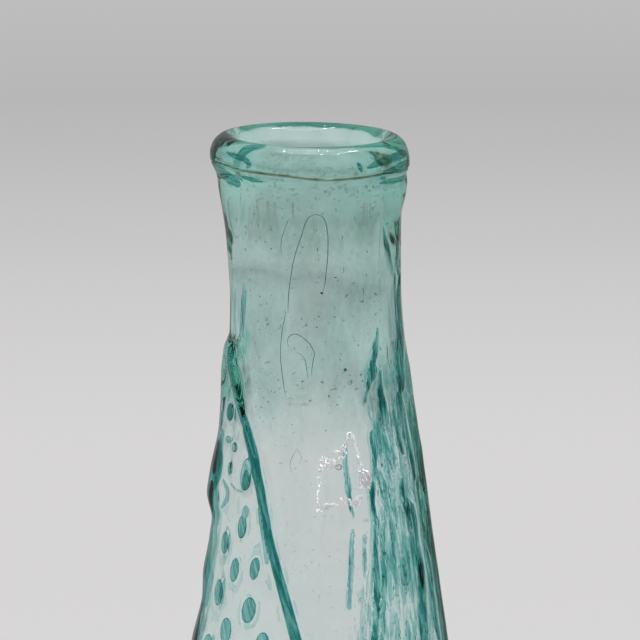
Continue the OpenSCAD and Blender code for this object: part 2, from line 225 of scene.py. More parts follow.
STROKES = [
    # raised edge of the left leaf, front side
    stroke([(-72.5, 107.3, 0.12, 0.25), (-72, 106.9, 0.3, 0.3), (-71.4, 106.3, 0.5, 0.42), (-70.8, 105.7, 0.6, 0.5),
            (-69.8, 105.1, 0.62, 0.5), (-68.3, 104.5, 0.6, 0.5), (-66.2, 103.9, 0.56, 0.48), (-63.9, 103.2, 0.54, 0.48),
            (-61, 102.4, 0.54, 0.48), (-58, 101.3, 0.53, 0.5), (-54.7, 100.3, 0.48, 0.52), (-51.3, 99.3, 0.46, 0.6),
            (-47.6, 98.2, 0.46, 0.75), (-45.3, 97.2, 0.44, 0.85)], 0.1, 2.4),
    stroke([(-49, 98.6, 0.2, 0.75), (-47.6, 98.2, 0.46, 0.8), (-45.3, 97.2, 0.49, 0.85), (-42.8, 96.2, 0.52, 0.82),
            (-40.6, 95.1, 0.52, 0.8), (-38.7, 94, 0.49, 0.8), (-37.2, 93, 0.48, 0.82), (-35.4, 92, 0.47, 0.84),
            (-34.1, 90.9, 0.45, 0.86), (-32.6, 89.8, 0.43, 0.9), (-31.1, 88.8, 0.42, 0.9), (-29.9, 87.7, 0.42, 0.92),
            (-28, 86.4, 0.42, 0.92), (-24.3, 84, 0.45, 0.85), (-18, 80, 0.5, 0.8), (-11.7, 75.5, 0.55, 0.75),
            (-4.4, 70, 0.5, 0.7), (0, 67, 0.3, 0.6)], 0.3, 2.4),
    # dark edges of the lobes, seen at the left side of the outline
    stroke([(-84, 96.1, 0.8, 0.4), (-84, 95.5, 1.7, 0.48), (-84, 94.8, 2.1, 0.52), (-84, 94, 2.5, 0.56), (-84, 93, 2.5, 0.56),
            (-84.5, 92.2, 2.3, 0.52), (-85, 91.3, 2.1, 0.48), (-85, 90.4, 2.0, 0.5), (-85, 89.4, 1.9, 0.54),
            (-84.5, 88.3, 1.9, 0.52), (-84, 87.4, 1.5, 0.45), (-84, 86.9, 0.7, 0.4)], 0.0),
    stroke([(-90, 86, 1.6, 0.3), (-90, 85, 2.8, 0.36), (-90, 82, 3.4, 0.38), (-90, 79.5, 3, 0.36), (-90, 78.4, 1.1, 0.3)], 0.0),
    stroke([(-90, 76, 1.6, 0.3), (-90, 74.6, 3.2, 0.34), (-90, 71.4, 3.4, 0.34), (-90, 68.6, 1.8, 0.3)], 0.0),
    stroke([(-90, 104.6, 0.8, 0.16), (-90, 102.2, 1.3, 0.18), (-90, 100, 1.3, 0.2), (-90, 98, 1.1, 0.16)], 0.0),
    stroke([(-66.5, 102.6, 0.16, 0.15), (-69, 101.5, 0.26, 0.25), (-69.2, 100.7, 0.18, 0.2)], 0.05),
    stroke([(-68.5, 91.9, 0.14, 0.25), (-63.1, 91, 0.36, 0.3), (-63.3, 89.9, 0.34, 0.3), (-67.7, 88.9, 0.16, 0.25)], 0.12),
    stroke([(-59.7, 91.8, 0.13, 0.25), (-54.2, 91.35, 0.12, 0.22), (-49.3, 91.3, 0.12, 0.2)], 0.05),
    stroke([(-35.4, 89.7, 0.18, 0.28), (-33.9, 88.6, 0.28, 0.32), (-32.5, 87.5, 0.25, 0.32), (-31.2, 86.2, 0.24, 0.3),
            (-29, 84, 0.2, 0.25)], 0.06),
    # soft marks beside the neck
    stroke([(-66.6, 113.2, 0.15, 0.05), (-68.6, 111.7, 0.3, 0.14), (-69.3, 110.5, 0.34, 0.16), (-68.6, 109.3, 0.3, 0.14),
            (-67.2, 108.7, 0.15, 0.05)], 0.02),
    stroke([(-54.5, 114.2, 0.15, 0.05), (-54, 113.2, 0.45, 0.16), (-56, 111.9, 0.5, 0.26), (-56.8, 110.5, 0.48, 0.3),
            (-57.5, 109.3, 0.4, 0.24), (-57, 108.2, 0.15, 0.08)], 0.02),
    # long ridges of the right leaf, front side
    stroke([(16.5, 97.1, 0.12, 0.12), (16.4, 96, 0.26, 0.25), (16.2, 95.2, 0.24, 0.28), (16.4, 94.2, 0.28, 0.28),
            (17, 93.3, 0.3, 0.3), (17.1, 92.5, 0.34, 0.3), (17.3, 91.8, 0.27, 0.45), (17.8, 91, 0.21, 0.6),
            (18, 90.2, 0.19, 0.7), (19, 89.5, 0.15, 0.6), (19.3, 89.1, 0.08, 0.4)], 0.12),
    stroke([(45.2, 109.4, 0.1, 0.4), (44.6, 108.4, 0.14, 0.6), (43.1, 107.8, 0.31, 0.7), (42.4, 107.1, 0.37, 0.75),
            (41.8, 106.6, 0.36, 0.75), (40.8, 106.1, 0.29, 0.6), (39.7, 105.6, 0.4, 0.72), (39.7, 105, 0.54, 0.62),
            (38.7, 104.3, 0.5, 0.5), (36.5, 103.7, 0.32, 0.6), (35.1, 103, 0.21, 0.6), (33.3, 102.4, 0.14, 0.45),
            (32.4, 101.6, 0.12, 0.25)], 0.2, 3.0),
    stroke([(45.9, 104.7, 0.12, 0.5), (45.3, 103.8, 0.15, 0.7), (44.9, 103, 0.31, 0.75), (44.2, 102.2, 0.4, 0.78),
            (45, 101.5, 0.48, 0.75), (45.6, 100.8, 0.54, 0.65), (45.6, 100, 0.6, 0.45), (45.7, 99.2, 0.56, 0.22)], 0.2, 3.0),
    stroke([(36.4, 98.4, 0.12, 0.3), (35.6, 98, 0.3, 0.35), (35.5, 97.4, 0.3, 0.45), (36, 96.5, 0.34, 0.5),
            (36.2, 95.6, 0.25, 0.5), (35, 94.7, 0.14, 0.4), (33.5, 93.5, 0.14, 0.3)], 0.14),
    stroke([(35.5, 94.9, 0.13, 0.5), (35.8, 93.5, 0.13, 0.5), (37, 92.2, 0.14, 0.5), (38.7, 91, 0.14, 0.5),
            (40.5, 89.9, 0.14, 0.45), (40.9, 88.5, 0.13, 0.4), (41.4, 87.3, 0.12, 0.35), (42, 84, 0.12, 0.3)], 0.1),
    stroke([(37.3, 93.8, 0.14, 0.12), (38.7, 92.5, 0.4, 0.26), (40, 91.3, 0.46, 0.28), (41, 89.8, 0.44, 0.24),
            (42, 88.3, 0.3, 0.14)], 0.04),
    stroke([(33, 92.7, 0.2, 0.5), (32.3, 92, 0.32, 0.65), (31.6, 91.2, 0.28, 0.85), (31.6, 90.5, 0.22, 0.9),
            (31.6, 89.8, 0.24, 0.95), (32, 89.1, 0.25, 0.8), (32.8, 88.3, 0.27, 0.55), (32.3, 87.6, 0.25, 0.5),
            (31.7, 86.8, 0.25, 0.55), (31.4, 86.2, 0.25, 0.55), (29.5, 82, 0.28, 0.6), (25, 75, 0.3, 0.55),
            (21, 70, 0.15, 0.5)], 0.2, 2.4),
    stroke([(41.2, 99.3, 0.2, 0.1), (41.8, 97.7, 0.5, 0.2), (44.2, 96.3, 0.6, 0.2), (47.7, 95, 0.55, 0.18),
            (48.5, 93.7, 0.3, 0.1)], 0.05),
    stroke([(55.5, 100, 0.2, 0.1), (56.6, 98.5, 0.4, 0.2), (57.8, 96.8, 0.36, 0.2), (59.7, 95.3, 0.22, 0.1)], 0.1),
    stroke([(46.7, 90, 0.4, 0.1), (47.1, 88.8, 0.95, 0.17), (47.7, 87.3, 1.1, 0.17), (48.4, 85.7, 1.1, 0.15),
            (47, 82, 0.9, 0.15)], 0.05),
    stroke([(37, 88, 0.2, 0.2), (35.5, 86.1, 0.25, 0.28), (34, 83, 0.25, 0.3), (31, 78, 0.25, 0.4), (28, 73, 0.2, 0.4)], 0.12),
    stroke([(18.4, 87.6, 0.14, 0.14), (17.7, 86.4, 0.22, 0.18), (16, 83, 0.25, 0.3), (14, 79, 0.15, 0.3)], 0.1),
    stroke([(25.4, 87, 0.12, 0.18), (25.1, 86.2, 0.13, 0.18), (24, 83, 0.16, 0.3)], 0.06),
    # run of glass down the right side, from the neck into the leaf
    stroke([(76.5, 121.2, 0.14, 0.4), (75.6, 119.9, 0.42, 0.7), (74.5, 118.9, 0.6, 0.85), (73.2, 117.8, 0.62, 0.85),
            (73.2, 117.1, 0.5, 0.8), (71.8, 116.2, 0.6, 0.85), (73.8, 115.5, 0.42, 0.75), (75.8, 114.8, 0.22, 0.5)],
           0.05, 2.5),
    stroke([(81, 114.4, 0.3, 0.5), (78, 113.4, 0.65, 0.7), (75.5, 112.8, 0.8, 0.8), (74.8, 111.6, 0.76, 0.8),
            (75.4, 110.2, 0.8, 0.85), (75, 109, 0.9, 0.9), (75, 107.8, 0.95, 0.95), (72.5, 106.6, 0.88, 1.0),
            (70, 105.5, 0.82, 1.0), (68.6, 104.3, 0.84, 1.0), (68.6, 103.2, 0.8, 1.0), (68, 102.4, 0.62, 1.0),
            (65.4, 101.8, 0.36, 0.9), (64.2, 101.3, 0.12, 0.8)], 0.1, 2.5),
    stroke([(63.2, 101.3, 0.66, 0.45), (63, 100.7, 0.7, 0.48), (63.7, 99.8, 0.72, 0.45), (64.1, 98.8, 0.74, 0.45),
            (64.3, 97.7, 0.7, 0.48), (65.9, 96.5, 0.6, 0.6), (67.2, 95.3, 0.54, 0.65), (68.7, 94.1, 0.44, 0.6),
            (69.7, 93, 0.4, 0.5), (69.6, 92.1, 0.24, 0.35)], 0.16, 2.5),
    stroke([(54.3, 92.5, 0.12, 0.5), (54, 91.8, 0.22, 0.6), (54.3, 91, 0.3, 0.62), (55, 90.2, 0.38, 0.65),
            (56.9, 89.5, 0.6, 0.65), (59.6, 88.7, 0.85, 0.65), (61, 87.7, 0.8, 0.66), (61.4, 86.9, 0.6, 0.7),
            (61.2, 86, 0.58, 0.66), (60.6, 85.2, 0.58, 0.62), (59, 81, 0.6, 0.6), (55.5, 75, 0.55, 0.6),
            (52, 69, 0.3, 0.5)], 0.22, 2.5),
    stroke([(90, 105.6, 1.2, 0.25), (90, 103.5, 1.4, 0.3), (90, 102.3, 1.1, 0.25)], 0.0),
    stroke([(90, 100.1, 0.6, 0.3), (90, 99, 1.7, 0.45), (90, 97, 2.2, 0.5), (90, 94.6, 2.4, 0.55), (90, 93.4, 2.5, 0.75),
            (90, 92.4, 2.5, 0.85), (90, 91.3, 2.3, 0.85), (90, 90.4, 1.9, 0.6), (90, 89.5, 1.6, 0.4), (90, 88.5, 1.9, 0.5),
            (90, 87.5, 2.2, 0.65), (90, 86.4, 2.6, 0.75), (90, 85.3, 2.9, 0.75), (90, 84, 3.1, 0.7), (90, 80, 3.3, 0.6),
            (90, 75, 3.2, 0.36), (90, 70, 2.7, 0.32), (90, 66, 1, 0.25)], 0.0),
]
# oval cells of the left leaf: angle, height, half width, half height, lean of its
# long axis (mm of width per mm of height), how high, how dark inside and at the edge
CELLS = [(-65.4, 99.6, 0.8, 0.98, 0.12, 0.16, 0.8, 0.5), (-66.4, 96.5, 0.6, 0.38, 0, 0.1, 0.3, 0.3),
         (-58.5, 95.9, 0.46, 0.5, 0, 0.12, 0.3, 0.95), (-62.7, 93.4, 0.34, 0.68, 0, 0.1, 0.45, 0.3),
         (-45.8, 93.3, 0.82, 1.75, 0.1, 0.18, 0.22, 0.75), (-45.1, 92.7, 0.6, 1.1, 0.1, 0.1, 0.7, 0.7),
         (-44.9, 89.1, 0.46, 0.75, 0.1, 0.1, 0.24, 0.2), (-46.6, 87.5, 0.62, 1.25, 0.05, 0.16, 0.5, 0.95),
         (-61, 85.2, 0.7, 1.2, 0, 0.16, 0.4, 0.5), (-50, 82.6, 0.7, 1.3, 0.1, 0.16, 0.45, 0.5),
         (-36, 83.2, 0.6, 1.2, 0.1, 0.14, 0.45, 0.5), (-62, 79.6, 0.9, 1.4, 0, 0.18, 0.4, 0.5),
         (-38, 78.6, 0.9, 1.4, 0.1, 0.18, 0.4, 0.5), (-52, 75.8, 0.9, 1.4, 0, 0.18, 0.4, 0.5),
         (-29, 75.2, 0.8, 1.2, 0.1, 0.16, 0.4, 0.5), (-66, 73.2, 1.0, 1.5, 0, 0.18, 0.4, 0.5),
         (-42, 71.6, 0.9, 1.4, 0, 0.16, 0.4, 0.5), (-22, 71, 0.7, 1.0, 0, 0.14, 0.4, 0.5)]
CELLS += [(-180 - a - 4, z + 1.7, w * 1.1, h, -s, u, t * 0.2, m * 0.25)
          for a, z, w, h, s, u, t, m in CELLS if z < 90 or a < -60]


def along(a, z, points):
    """How far each (angle, height) is outside a stroke in mm, and the stroke's
    half width and darkness at the nearest place of its middle line."""
    k = math.radians(1)
    s = a * k * panel_r(z)
    line = [(p[0] * k * float(panel_r(np.array(p[1]))), p[1], p[2], p[3]) for p in points]
    best = np.full(a.shape, 1e9)
    wide = np.full(a.shape, 1.0)
    dark = np.zeros(a.shape)
    for (s0, z0, w0, v0), (s1, z1, w1, v1) in zip(line[:-1], line[1:]):
        d = np.array([s1 - s0, z1 - z0])
        n = float(d @ d) + 1e-9
        t = np.clip(((s - s0) * d[0] + (z - z0) * d[1]) / n, 0, 1)
        w = w0 + (w1 - w0) * t
        out = np.hypot(s - s0 - t * d[0], z - z0 - t * d[1]) - w
        near = out < best
        best = np.where(near, out, best)
        wide = np.where(near, w, wide)
        dark = np.where(near, v0 + (v1 - v0) * t, dark)
    return best, wide, dark


REACH = 0.6     # mm at each side of an edge that the edge field covers


def details(a, z):
    """Height that the strokes and cells add; how far each point is outside the
    nearest one; how dark that one is, inside and along its edge."""
    high = np.zeros(a.shape)
    out = np.full(a.shape, 9.0)
    fill = np.zeros(a.shape)
    line = np.zeros(a.shape)
    for s in STROKES:
        pts = s["points"]
        lo, hi = min(p[1] for p in pts) - 5, max(p[1] for p in pts) + 5
        k = (z > lo) & (z < hi) & (a > min(p[0] for p in pts) - 32) & (a < max(p[0] for p in pts) + 32)
        o, w, v = along(a[k], z[k], pts)
        if s["high"] > 0:
            high[k] = np.maximum(high[k], s["high"] * np.exp(-np.abs(np.maximum(o / w + 1, 0) * 0.85) ** s["power"]))
        near = o < out[k]
        out[k] = np.where(near, o, out[k])
        fill[k] = np.where(near, v, fill[k])
        line[k] = np.where(near, 0.1, line[k])
    for ca, cz, w, h, lean, up, mid, rim in CELLS:
        r = float(panel_r(np.array(cz)))
        k = (np.abs(z - cz) < h * 3) & (np.abs(a - ca) < 25)
        s = (a[k] - ca) * math.radians(1) * r - lean * (z[k] - cz)
        d = np.hypot(s / w, (z[k] - cz) / h) + 1e-6
        o = (d - 1) * np.hypot(s, z[k] - cz) / d
        high[k] += up * np.exp(-(d * 0.9) ** 4)
        near = o < np.where(out[k] < 0, 0.0, out[k])
        out[k] = np.where(near, o, out[k])
        fill[k] = np.where(near, mid, fill[k])
        line[k] = np.where(near, rim, line[k])
    return high, out, fill, line


# outline of the band that glitters on the front: (angle, height, half width, strength)
BAND = [(19.6, 98.2, 0.2, 0.9), (18, 97.1, 0.28, 0.9), (15.6, 96.5, 0.4, 0.95), (13.2, 96.0, 0.5, 0.9), (8.7, 95.7, 0.6, 0.9),
        (6.2, 95.0, 0.5, 0.9), (4.9, 95.5, 0.6, 1), (2.8, 95.2, 0.4, 1), (1.6, 94.6, 0.16, 0.9), (0.5, 94.1, 0.12, 0.9),
        (-0.2, 92.7, 0.1, 0.8), (-0.9, 91.4, 0.1, 0.75), (-1.2, 90.0, 0.12, 0.85), (-0.5, 89.7, 0.16, 0.9), (1, 90.0, 0.22, 1),
        (4.9, 90.5, 0.32, 1), (9.8, 90.8, 0.36, 0.95), (14, 91.0, 0.36, 0.8), (17.6, 90.7, 0.3, 0.9), (21.2, 90.6, 0.32, 1),
        (24.5, 91.1, 0.42, 0.9), (27, 91.9, 0.58, 1), (28.2, 92.8, 0.6, 1), (27.8, 93.7, 0.55, 1), (26.1, 94.2, 0.36, 0.9),
        (24.8, 95.0, 0.18, 0.6), (24, 96.2, 0.14, 0.45), (22.8, 97.2, 0.14, 0.5), (21.2, 97.9, 0.2, 0.7), (19.6, 98.2, 0.2, 0.9)]


# ---------------------------------------------------------------- columns and rings
front = np.linspace(-102, 102, 195)
back = np.linspace(102, 258, 47)[1:-1]
COLS = np.concatenate([front, back])
COLS = np.where(COLS > 180, COLS - 360, COLS)
N = len(COLS)
SIN, COS = np.sin(np.radians(COLS)), np.cos(np.radians(COLS))


def place(r, x0, z, tilt):
    """Points of one ring; r is per column."""
    x, y = r * SIN, -r * COS
    t = math.radians(tilt)
    return np.stack([x0 + x * math.cos(t), y, z - x * math.sin(t)], 1)


def tilt_at(z):
    return LIP_TILT * float(ease((z - 116) / 10))


rings = []      # (N, 3) points
fields = []     # what the glass looks like at each of them


def plain(n, **kw):
    f = dict(edge=np.zeros(n), fill=np.zeros(n), line=np.zeros(n), wash=np.zeros(n), dirt=np.zeros(n),
             haze=np.zeros(n), fray=np.zeros(n), leaf=np.zeros(n), band=np.zeros(n), grain=np.full(n, 0.01), flow_u=np.zeros(n), flow_v=np.zeros(n))
    f.update(kw)
    return f


# base: dished hollow, resting ring and heel
rs = (14.5 ** 2 + 2.5 ** 2) / 5
for r in (0.6, 1.6, 3, 5, 7, 9, 11, 12.6, 13.7):
    z = 2.5 - (rs - math.sqrt(rs * rs - r * r))
    rings.append(place(np.full(N, r), 0, z, 0))
for r, z in ((14.3, 0.12), (14.9, 0.02), (15.6, 0), (17, 0), (18.3, 0.0), (19.0, 0.1),
             (19.6, 0.38), (20.1, 0.85), (20.5, 1.6), (20.8, 2.7), (20.95, 3.9)):
    rings.append(place(np.full(N, r), 0, z, 0))
n_base = len(rings)
fields += [plain(N) for _ in rings]

# body and neck
body_z = np.concatenate([np.arange(5.2, 60, 1.75), np.arange(60.4, 84, 0.82),
                         np.arange(84, 121.6, 0.25)])
A, Z = np.meshgrid(COLS, body_z)
lift_l, lobe_l, rim_l = left_leaf(A, Z)
lift_r, vein_r = right_leaf(A, Z)
left = (A < 0)
lift = np.where(left, lift_l * stand(Z), lift_r * ease((Z - 58) / 10))
relief = lift + np.where(left, lobe_l + rim_l, vein_r) * stand(Z) + side_edge(A, Z)
high, edge, fill, line = details(A, Z)
base_r = panel_r(Z)
P = np.stack([base_r * np.sin(np.radians(A)), -base_r * np.cos(np.radians(A)), Z], -1)
# slow waves and streaks of blown glass, stronger on the neck
neck_up = ease((Z - 98) / 8)
waves = ((0.025 + 0.045 * neck_up) * noise(P, (3.6, 3.6, 7), 3)
         + (0.010 + 0.010 * neck_up) * noise(P, (1.6, 1.6, 5), 5))
on_leaf = np.where(left, np.clip(lift / 0.45, 0, 1), ease(lift / 0.16))
right_on = on_leaf * (~left)
bark = right_on * (0.035 * noise(P, (0.9, 0.9, 2.8), 11) + 0.015 * noise(P, (0.45, 0.45, 1.3), 12))
pebble = on_leaf * left * 0.012 * noise(P, (0.9, 0.9, 1.2), 17)
radius = base_r + relief + high + waves + bark + pebble
# soft clouds in the neck, with painted shade in darker bands round the top of the neck
on_neck = ease((Z - 95.5) / 7)
cloud = (0.55 * noise(P, (3.0, 3.0, 4.5), 71) + 0.35 * noise(P, (1.5, 1.5, 3.0), 72)
         + 0.25 * noise(P, (0.8, 0.8, 2.2), 73))
wash = 0.036 * on_neck * (1 - 0.8 * ease((Z - 114) / 6)) * (1 + 0.5 * noise(P, (2.6, 2.6, 6), 75))
haze = (0.012 + 0.036 * on_neck * (1 - 0.55 * ease((Z - 113) / 6)) + 0.012 * np.exp(-((Z - 102.6) / 2.4) ** 2)
         # painted shade: a darker grey band round the top of the neck, higher at the front than at the back
         + 0.075 * np.exp(-((Z - 120.8 - 1.8 * np.cos(np.radians(A))) / 1.9) ** 2)
        ) * np.clip(1 + 0.9 * cloud, 0.1, 2)
dirt = on_neck * (0.018 * np.clip(0.3 + 1.3 * cloud, 0, 2)
                  # painted shade: a darker brownish band round the top of the neck
                  + 0.02 * np.exp(-((Z - 121) / 2.2) ** 2) * np.clip(0.8 + 0.7 * cloud, 0, 2))
for (a0, z0, wa, wz, v) in ((-12, 102.1, 7, 0.55, 0.10), (-12.5, 101.55, 6.5, 0.12, 0.35),
                            (3, 112.4, 5, 1.6, 0.05), (-8, 103.6, 5, 1.0, 0.05)):
    dirt = np.maximum(dirt, v * np.exp(-((A - a0) / wa) ** 4 - ((Z - z0) / wz) ** 2)
                      * (0.6 + 0.8 * np.clip(noise(P, 0.5, 61), -0.5, 1)))
# soft grey shade under the neck's left side
wash = np.maximum(wash, 0.26 * np.exp(-((A + 62) / 7) ** 2 - ((Z - 106.4) / 0.9) ** 2)
                  + 0.2 * np.exp(-((A + 53) / 4.5) ** 2 - ((Z - 108) / 1.5) ** 2))
leaf = right_on * ease((Z - 60) / 6) * ease((105 - Z) / 4)
o_, w_, v_ = along(A, Z, BAND)
band = v_ * ease((0.16 - o_) / 0.24)
grain = 0.015 + 0.10 * right_on * ease((Z - 60) / 6)
fray = np.where(left, 0.12, ease((A - 8) / 6)) * ease((Z - 60) / 6)
rib = [p for p in STROKES[0]["points"] if p[1] > 98.3] + STROKES[1]["points"][1:]
rib_s = np.interp(-Z, [-p[1] for p in rib], [p[0] * math.radians(1) * float(panel_r(np.array(p[1]))) for p in rib])
flow_u = np.where(left, A * math.radians(1) * base_r - rib_s, A * 0.185)
FIELDS = ("edge", "fill", "line", "wash", "dirt", "haze", "fray", "leaf", "band", "grain", "flow_u", "flow_v")
body_fields = dict(edge=0.5 - np.clip(edge, -REACH, REACH) / (2 * REACH), fill=fill, line=line, wash=wash,
                   dirt=dirt, haze=haze, fray=fray, leaf=leaf, band=band, grain=grain, flow_u=flow_u, flow_v=Z)
for i, z in enumerate(body_z):
    rings.append(place(radius[i], float(bend_x(np.array(z))), z, tilt_at(z)))
    fields.append({k: body_fields[k][i] for k in FIELDS})

# lip
lip_line = smooth_line(LIP, 0.17)
crease = np.interp(COLS, [-180, -120, -90, -66, -54, -44, -32, -12, -4, 10, 33, 47, 64, 90, 130, 180],
                   [3.3, 3.4, 3.3, 2.75, 2.82, 2.98, 3.0, 3.06, 3.22, 3.38, 3.12, 2.95, 3.1, 3.2, 3.4, 3.3])
# darker places of the lip, where glass was folded under: (angle, depth, half width)
LIP_MARKS = [
    ([(-80, 3.4, 0.2), (-70, 3.7, 0.6), (-60, 4.1, 0.9), (-50, 4.5, 0.6)], 0.5),
    ([(-44, 3.8, 0.12), (-37, 3.9, 0.3), (-29, 4.0, 0.1)], 0.45),
    ([(-57, 1.3, 0.1), (-50, 1.5, 0.28), (-44, 1.65, 0.26), (-38.5, 1.8, 0.3), (-36.6, 2.2, 0.3), (-38, 2.6, 0.1)], 0.5),
    ([(28.6, 1.6, 0.1), (29.8, 1.95, 0.28), (30.8, 2.4, 0.15)], 0.6),
    ([(35, 2.1, 0.08), (40, 1.85, 0.28), (49, 1.6, 0.38), (58, 1.5, 0.4), (70, 1.37, 0.4), (80, 1.5, 0.2)], 0.5),
    ([(47, 2.9, 0.1), (53, 2.75, 0.32), (62, 2.6, 0.5), (72, 2.5, 0.5), (82, 2.6, 0.3)], 0.6),
    ([(46, 4.0, 0.1), (55, 4.0, 0.26), (70, 4.05, 0.28), (82, 4.1, 0.15)], 0.4),
    ([(-98, 0.3, 0.2), (-112, 0.25, 0.4), (-128, 0.2, 0.4), (-142, 0.2, 0.15)], 0.4),
    ([(100, 0.3, 0.2), (114, 0.25, 0.4), (130, 0.2, 0.4), (146, 0.2, 0.15)], 0.4),
    ([(-180, 0, 0.05), (-150, 0, 0.06), (-125, 0, 0.02)], 0.4),
    ([(125, 0, 0.02), (150, 0, 0.06), (180, 0, 0.05)], 0.4),
    ([(37.5, 1.15, 0.02), (41, 1.3, 0.04), (42, 1.6, 0.03), (41.6, 1.95, 0.04), (40.8, 2.2, 0.02)], 0.7),
]


def lip_marks(d):
    out = np.full(N, 9.0)
    dark = np.zeros(N)
    k = math.radians(1) * LIP_R
    for pts, v in LIP_MARKS:
        for (a0, z0, w0), (a1, z1, w1) in zip(pts[:-1], pts[1:]):
            e = np.array([(a1 - a0) * k, z1 - z0])
            u = np.clip((((COLS - a0) * k) * e[0] + (d - z0) * e[1]) / (e @ e), 0, 1)
            o = np.hypot((COLS - a0) * k - u * e[0], d - z0 - u * e[1]) - (w0 + (w1 - w0) * u)
            dark = np.where(o < out, v, dark)
            out = np.minimum(out, o)
    return out, dark


for dr, d in lip_line:
    groove = np.exp(-((d - crease) / 0.1) ** 2)
    r = LIP_R + dr - 0.12 * groove
    x0 = -LEAN * (1 - 0.2 * float(ease((d - 3.5) / 1.5)))
    z = TOP_Z - d
    tilt = CREST_TILT + (LIP_TILT - CREST_TILT) * float(ease(d / 2.6))
    q = place(r, x0, z, tilt)
    q2 = q.copy()
    wob = ((0.05 * noise(q2, (3.2, 3.2, 2.4), 23) + 0.02 * noise(q2, (1.0, 1.0, 1.6), 24)) * float(ease((d - 1.4) / 0.9))
           + 0.008 * noise(q2, (4, 4, 4), 25))
    q[:, 0] += wob * SIN
    q[:, 1] -= wob * COS
    rings.append(q)
    stain = (0.12 * np.exp(-((COLS + 13) / 15) ** 4) * math.exp(-((d - 1.3) / 0.8) ** 4)
             * np.clip(noise(q2, (0.28, 0.28, 0.34), 33) + 0.2, 0, 1))
    specks = (0.5 * np.clip(noise(q2, (0.28, 0.28, 0.22), 35) - 0.45, 0, 1) * float(ease((d - 1.6) / 0.6))
              * ease((95 - np.abs(COLS)) / 10))
    out_, dark_ = lip_marks(d)
    fields.append(plain(N, edge=0.5 - np.clip(out_, -REACH, REACH) / (2 * REACH), fill=dark_, line=np.full(N, 0.08),
                        wash=np.clip(0.02 * noise(q2, (2, 2, 1.2), 37), 0, 1),
                        haze=np.clip(0.02 + 0.03 * noise(q2, (1.2, 1.2, 0.7), 38), 0, 1), fray=np.full(N, 0.45),
                        # dirt and painted shade along the crease under the lip, darker at the front than at the back
                        dirt=np.maximum(0.95 * groove * (0.7 + 0.4 * noise(q2, 0.8, 31)) * (0.3 + 0.7 * ease((112 - np.abs(COLS)) / 20)),
                                        np.maximum(stain, specks)),
                        grain=np.full(N, 0.012), flow_u=np.full(N, 1.3 * (40 - d)), flow_v=COLS * 0.19))
# mouth and bore
for r, d in smooth_line(MOUTH, 0.2)[1:]:
    tilt = CREST_TILT * (1 - float(ease(d / 2.5)))
    q = place(np.full(N, r), -LEAN, TOP_Z - d, tilt)
    wob = 0.02 * noise(q, (3, 3, 3), 29) * ease((d - 0.1) / 0.5)
    q[:, 0] += wob * SIN
    q[:, 1] -= wob * COS
    rings.append(q)
    fields.append(plain(N))
for d in (2.8, 3.6, 4.6, 5.7, 6.8, 7.9, 8.8):
    q = place(np.full(N, BORE_R), -LEAN, TOP_Z - d, 0)
    wob = float(ease((d - 2.5) / 2)) * (0.05 * noise(q, (3, 3, 6), 45) + 0.02 * noise(q, (1.5, 1.5, 4), 46))
    q[:, 0] += wob * SIN
    q[:, 1] -= wob * COS
    rings.append(q)
    fields.append(plain(N))
n_outer = len(rings)

# inside, with every second column
inner_z = np.concatenate([np.arange(120.5, 84, -0.5), np.arange(84, 58, -1.3),
                          np.arange(57, 11, -3.0)])
AI, ZI = np.meshgrid(COLS[::2], inner_z)
NI = AI.shape[1]
SI, CI = np.sin(np.radians(COLS[::2])), np.cos(np.radians(COLS[::2]))
wall = soft(WALL, ZI, 0.8)
li, lo, _ = left_leaf(AI, ZI)
ri, _ = right_leaf(AI, ZI)
follow = np.where(AI < 0, (li + lo) * stand(ZI), ri * ease((ZI - 58) / 10)) * 0.85 * ease((104 - ZI) / 6) + 0.8 * side_edge(AI, ZI)
PI_ = np.stack([panel_r(ZI) * np.sin(np.radians(AI)), -panel_r(ZI) * np.cos(np.radians(AI)), ZI], -1)
inner_r = (panel_r(ZI) - wall + follow + (0.04 + 0.07 * ease((ZI - 98) / 8)) * noise(PI_, (3.5, 3.5, 8), 41)
           * ease((120.8 - ZI) / 4) + 0.04 * noise(PI_, (1.8, 1.8, 5), 43) * ease((120.8 - ZI) / 4))
inner_rings = []
for i, z in enumerate(inner_z):
    x0 = np.interp(z, [107, 113, 121.07], [float(bend_x(np.array(107.0))), float(bend_x(np.array(113.0))) - 0.15, -LEAN]) \
        if z > 107 else float(bend_x(np.array(z)))
    inner_rings.append(np.stack([x0 + inner_r[i] * SI, -inner_r[i] * CI, np.full(NI, z)], 1))
for r, z in ((19.2, 9.0), (18.7, 7.3), (17.6, 6.3), (16, 5.9), (14, 5.85), (11, 6.1), (8, 6.5),
             (5, 6.8), (2.5, 6.95), (0.8, 7.0)):
    inner_rings.append(np.stack([r * SI, -r * CI, np.full(NI, z)], 1))

# ---------------------------------------------------------------- mesh
verts = [np.array([[0, 0, 2.5]])] + rings + inner_rings + [np.array([[0, 0, 7.0]])]
all_fields = [plain(1)] + fields + [plain(NI) for _ in inner_rings] + [plain(1)]
faces = []
order = list(range(N))          # the columns run once round, in order of angle


def quads(p, q, n):
    i = np.arange(n)
    j = (i + 1) % n
    return np.stack([p + i, p + j, q + j, q + i], 1)


tri = [[0, 1 + (i + 1) % N, 1 + i] for i in range(N)]
quad = []
for k in range(n_outer - 1):
    quad.append(quads(1 + k * N, 1 + (k + 1) * N, N))
